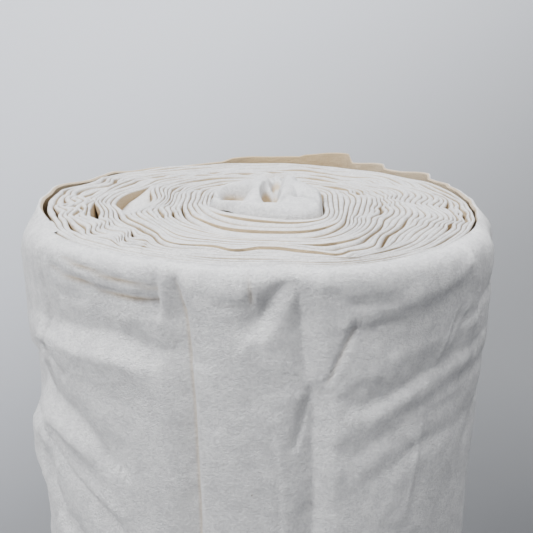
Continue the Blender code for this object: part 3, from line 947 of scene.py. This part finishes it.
# %% Shader maths
class Maths:
    """A socket of a node tree that can be added, subtracted and multiplied."""

    def __init__(self, tree, socket):
        self.tree = tree
        self.socket = socket

    def node(self, kind, settings=None, output=0, **inputs):
        """Add a node of a kind, set it, fill its inputs and wrap an output."""
        node = self.tree.nodes.new(kind)
        for name, value in (settings or {}).items():
            setattr(node, name, value)
        for name, value in inputs.items():
            socket = node.inputs[int(name[1:]) if name[1:].isdigit() else name.replace("_", " ")]
            if isinstance(value, Maths):
                self.tree.links.new(value.socket, socket)
            else:
                socket.default_value = value
        return Maths(self.tree, node.outputs[output])

    def maths(self, operation, first, second=0.0):
        return self.node("ShaderNodeMath", {"operation": operation}, i0=first, i1=second)

    def __add__(self, other):
        return self.maths("ADD", self, other)

    def __sub__(self, other):
        return self.maths("SUBTRACT", self, other)

    def __rsub__(self, other):
        return self.maths("SUBTRACT", other, self)

    def __mul__(self, other):
        return self.maths("MULTIPLY", self, other)

    __radd__ = __add__
    __rmul__ = __mul__

    def ramp(self, low, high):
        """0 up to a low value, 1 from a high value, and smooth between."""
        return self.node("ShaderNodeMapRange", {"interpolation_type": "SMOOTHSTEP"},
                         Value=self, From_Min=low, From_Max=high)

    def blend(self, first, second):
        """Mix two colours, with this as the share of the second."""
        return self.node("ShaderNodeMix", {"data_type": "RGBA"}, 2,
                         i0=self, i6=first, i7=second)


# %% [markdown]
# Unbleached batting is a warm white felt. Needling leaves it mottled at the
# scale of a few millimetres, with short fibres lying across, and broken seeds
# leave a few brown specks. Down in the folds it is painted tan, as painted shade.
# One material does this for every piece, from positions in metres and the noted
# `crease` value, the share of painted shade. The lower end has a second one,
# with a groove between every two turns, bumped in and painted tan as shade.

# %% Cotton batting
COTTON = (0.845, 0.84, 0.835, 1)
COTTON_SHADE = (0.68, 0.675, 0.68, 1)
# painted shade, tan, for the folds and the lines between turns
PAINTED_SHADE_TAN = (0.52, 0.345, 0.13, 1)
SEED = (0.20, 0.14, 0.09, 1)


def start_material(name):
    """A new material, its Principled shader and a socket of object places."""
    material = bpy.data.materials.new(name)
    material.use_nodes = True
    tree = material.node_tree
    shader = tree.nodes["Principled BSDF"]
    start = tree.nodes.new("ShaderNodeTexCoord")
    return material, shader, Maths(tree, start.outputs["Object"])


def make_cotton(name, rings=False):
    """Needled cotton, mottled and speckled, with painted shade, tan, in its creases."""
    material, shader, place = start_material(name)
    # The crease value is the share of painted shade, tan, that a point gets.
    crease = place.node("ShaderNodeAttribute", {"attribute_name": "crease"}, output=2)
    clouds = place.node("ShaderNodeTexNoise", Vector=place, Scale=90, Detail=3, Roughness=0.6)
    clumps = place.node("ShaderNodeTexNoise", Vector=place, Scale=420, Detail=3, Roughness=0.65)
    laid = place.node("ShaderNodeMapping", Vector=place, Scale=(1, 1, 3.2))
    fibres = place.node("ShaderNodeTexNoise", Vector=laid, Scale=650, Detail=4, Roughness=0.7,
                        Distortion=0.8)
    mottle = 0.45 * clouds + 0.55 * clumps
    colour = mottle.ramp(0.40, 0.60).blend(COTTON_SHADE, COTTON)
    seeds = place.node("ShaderNodeTexVoronoi", Vector=place, Scale=42, Randomness=1.0)
    chance = place.node("ShaderNodeTexVoronoi", output=1, Vector=place, Scale=42, Randomness=1.0)
    few = place.node("ShaderNodeSeparateColor", Color=chance).ramp(0.62, 0.66)
    speck = (1 - (seeds + 0.03 * clumps).ramp(0.028, 0.052)) * few
    # Painted shade: the deeper in a fold, the more tan.
    fold_painted_shade = crease.ramp(0.05, 1.0)
    colour = (fold_painted_shade * 0.85).blend(colour, PAINTED_SHADE_TAN)
    colour = (speck * 0.8).blend(colour, SEED)
    height = 0.5 * clumps + 0.5 * fibres + 0.5 * clouds
    if rings:
        turn = place.node("ShaderNodeAttribute", {"attribute_name": "turn"}, output=2)
        part = turn.maths("FRACT", turn)
        # A groove between every two turns, bumped in and painted tan as shade.
        groove_and_shade = turn.maths("ABSOLUTE", part - 0.5).ramp(0.3, 0.5)
        height = height - 2.5 * groove_and_shade
        colour = (groove_and_shade * 0.7).blend(colour, PAINTED_SHADE_TAN)
    place.tree.links.new(colour.socket, shader.inputs["Base Color"])
    bump = place.node("ShaderNodeBump", Strength=1.0, Distance=4.0 * MM, Height=height)
    place.tree.links.new(bump.socket, shader.inputs["Normal"])
    shader.inputs["Roughness"].default_value = 0.95
    shader.inputs["Specular IOR Level"].default_value = 0.15
    shader.inputs["Sheen Weight"].default_value = 0.15
    shader.inputs["Sheen Roughness"].default_value = 0.6
    return material


cotton = make_cotton("cotton_batting")
for piece in (wound_turns, wad, outer_turn):
    piece.data.materials.clear()
    piece.data.materials.append(cotton)
lower_end.data.materials.clear()
lower_end.data.materials.append(make_cotton("cotton_cut_edges", rings=True))
print("materials:", [material.name for material in bpy.data.materials])

# %% [markdown]
# The roll stands on a pale floor in front of a pale wall, painted darker towards
# its lower right as painted shade where the light falls off. It shows only from
# its front, so that the roll can be seen from behind too.

# %% Stage
FLOOR_SIZE = 6.0
WALL_BEHIND = 0.85
FLOOR_GREY = (0.45, 0.45, 0.46)
WALL_PAINTED_SHADE_GREY, WALL_PAINTED_LIGHT_GREY = (0.355, 0.36, 0.37), (0.72, 0.74, 0.79)
PAINTED_SHADE_SLANT = 0.75  # how much to its right counts as lower down in the painted shade


def make_plain(name, low, high):
    """A matt finish, seen from its front, from one grey low down to another, which on the wall
    is painted shade.
    """
    material, shader, place = start_material(name)
    height = place.node("ShaderNodeSeparateXYZ", output=2, Vector=place)
    across = place.node("ShaderNodeSeparateXYZ", output=0, Vector=place)
    # Painted shade: darker low down and to the right, as the light falls off.
    share = (height - PAINTED_SHADE_SLANT * across).ramp(0.28, 1.53)
    place.tree.links.new(share.blend((*low, 1), (*high, 1)).socket, shader.inputs["Base Color"])
    shader.inputs["Roughness"].default_value = 0.9
    front = 1 - place.node("ShaderNodeNewGeometry", output=6)
    place.tree.links.new(front.socket, shader.inputs["Alpha"])
    return material


def add_stage():
    """The floor, and a wall behind the roll."""
    bpy.ops.object.select_all(action="DESELECT")
    bpy.ops.mesh.primitive_plane_add(size=FLOOR_SIZE, location=(0, 0, -0.2 * MM))
    floor = bpy.context.object
    floor.name = "floor"
    floor.data.materials.append(make_plain("pale_floor", FLOOR_GREY, FLOOR_GREY))
    bpy.ops.object.select_all(action="DESELECT")
    bpy.ops.mesh.primitive_plane_add(size=FLOOR_SIZE, location=(0, WALL_BEHIND, FLOOR_SIZE / 2),
                                     rotation=(math.radians(90), 0, 0))
    wall = bpy.context.object
    wall.name = "wall"
    bpy.ops.object.transform_apply(location=True, rotation=True, scale=True)
    wall.data.materials.append(make_plain("pale_wall_painted_shade", WALL_PAINTED_SHADE_GREY, WALL_PAINTED_LIGHT_GREY))


add_stage()
print("the wall stands", WALL_BEHIND, "m behind the roll")

# %% [markdown]
# A broad soft light stands at the upper left, and a weaker one high up at the
# right. The sky around gives the rest, so that shadows stay pale.

# %% Light
LIGHT_AIM = (0, 0, 1.1)  # near the top of the roll


def add_light(name, place, size, power):
    """A square area light that points at the top of the roll."""
    bpy.ops.object.light_add(type="AREA", location=place)
    light = bpy.context.object
    light.name = name
    light.data.shape = "SQUARE"
    light.data.size = size
    light.data.energy = power
    light.data.color = (0.975, 0.985, 1.0)
    toward = Vector(LIGHT_AIM) - Vector(place)
    light.rotation_euler = toward.to_track_quat("-Z", "Y").to_euler()


add_light("key_light", (-0.92, -0.88, 2.55), 0.6, 73)
add_light("top_light", (0.3, -0.42, 2.42), 0.8, 30)
world = bpy.data.worlds.new("studio")
world.use_nodes = True
sky = world.node_tree.nodes["Background"].inputs
sky["Color"].default_value = (0.92, 0.95, 1.0, 1)
sky["Strength"].default_value = 0.36
bpy.context.scene.world = world
print("lights:", sorted(light.name for light in bpy.data.lights))

# %% [markdown]
# The whole cloth is about 27 m long and 2.286 m wide before it is folded double.
# Most of it is in the winding, with the wad as its start, and the last 1.3 m is
# the loose turn.

WAD_CLOTH = 1.7  # metres of cloth crumpled in the wad

round(wound_length + WAD_CLOTH, 2)
